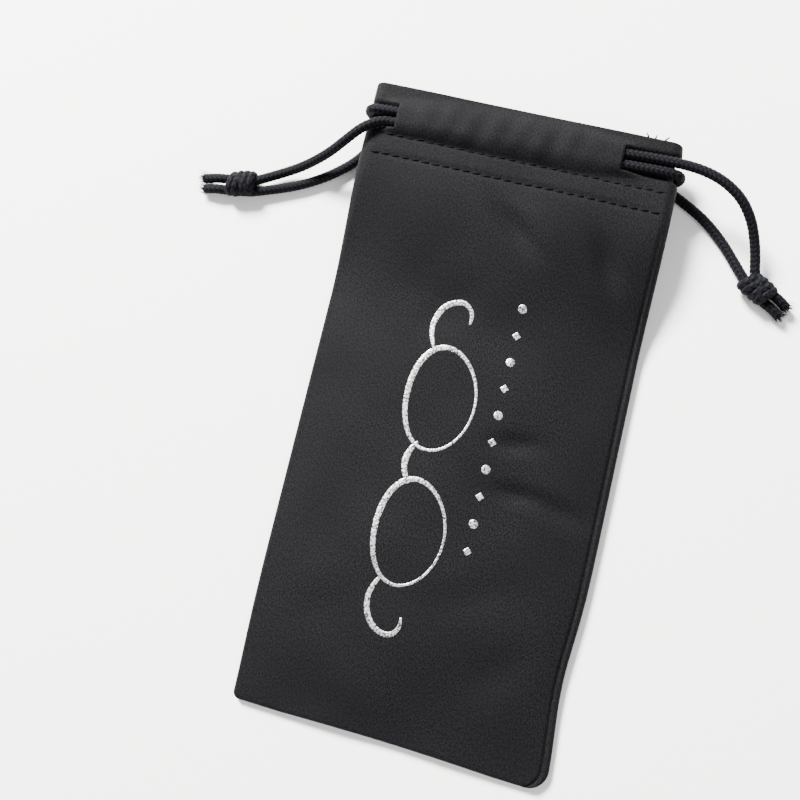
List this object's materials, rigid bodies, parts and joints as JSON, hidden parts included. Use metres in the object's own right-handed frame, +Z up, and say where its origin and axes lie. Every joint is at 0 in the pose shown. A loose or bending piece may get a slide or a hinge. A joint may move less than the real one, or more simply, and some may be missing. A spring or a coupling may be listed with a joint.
{
  "type": "drawstring glasses pouch",
  "caption": "Soft flat microfibre pouch for glasses, open at one end, with a hemmed tunnel and two opposed drawcords that draw its mouth together, each knotted at its own side.",
  "frame": {"origin": "centre of the pouch's footprint, on the table that it lies on", "axes": "+X across the pouch to the seamed side, +Y along it to the mouth, +Z up out of the front"},
  "size_m": [0.1738, 0.18, 0.0164],
  "materials": {
    "microfibre": "soft black microfibre with a fine twill grain and a faint sheen",
    "drawcord": "round braided black polyester cord",
    "thread": "black sewing thread",
    "silver_foil": "pressed silver foil, finely crackled"
  },
  "bodies": {
    "pouch": {"front_panel": "microfibre", "back_panel": "microfibre", "front_casing": "microfibre", "back_casing": "microfibre", "front_hem_facing": "microfibre", "back_hem_facing": "microfibre", "side_seam_allowance": "microfibre", "bottom_seam_allowance": "microfibre", "front_upper_stitches": "thread", "front_lower_stitches": "thread", "back_upper_stitches": "thread", "back_lower_stitches": "thread", "side_seam_stitches": "thread", "bottom_seam_stitches": "thread", "foil_emblem": "silver_foil", "foil_dots": "silver_foil"},
    "left_drawcord": {"left_cord": "drawcord", "left_knot": "drawcord", "left_cord_ends": "drawcord"},
    "right_drawcord": {"right_cord": "drawcord", "right_knot": "drawcord", "right_cord_ends": "drawcord"}
  },
  "joints": [
    {"name": "left_drawcord_pull", "type": "slide", "parent": "pouch", "child": "left_drawcord", "axis": [-1, 0, 0], "range_m": [0, 0.02], "deforming": ["front_casing", "back_casing", "front_hem_facing", "back_hem_facing", "front_upper_stitches", "back_upper_stitches", "front_lower_stitches", "back_lower_stitches"]},
    {"name": "right_drawcord_pull", "type": "slide", "parent": "pouch", "child": "right_drawcord", "axis": [1, 0, 0], "range_m": [0, 0.02], "deforming": ["front_casing", "back_casing", "front_hem_facing", "back_hem_facing", "front_upper_stitches", "back_upper_stitches", "front_lower_stitches", "back_lower_stitches"]}
  ]
}
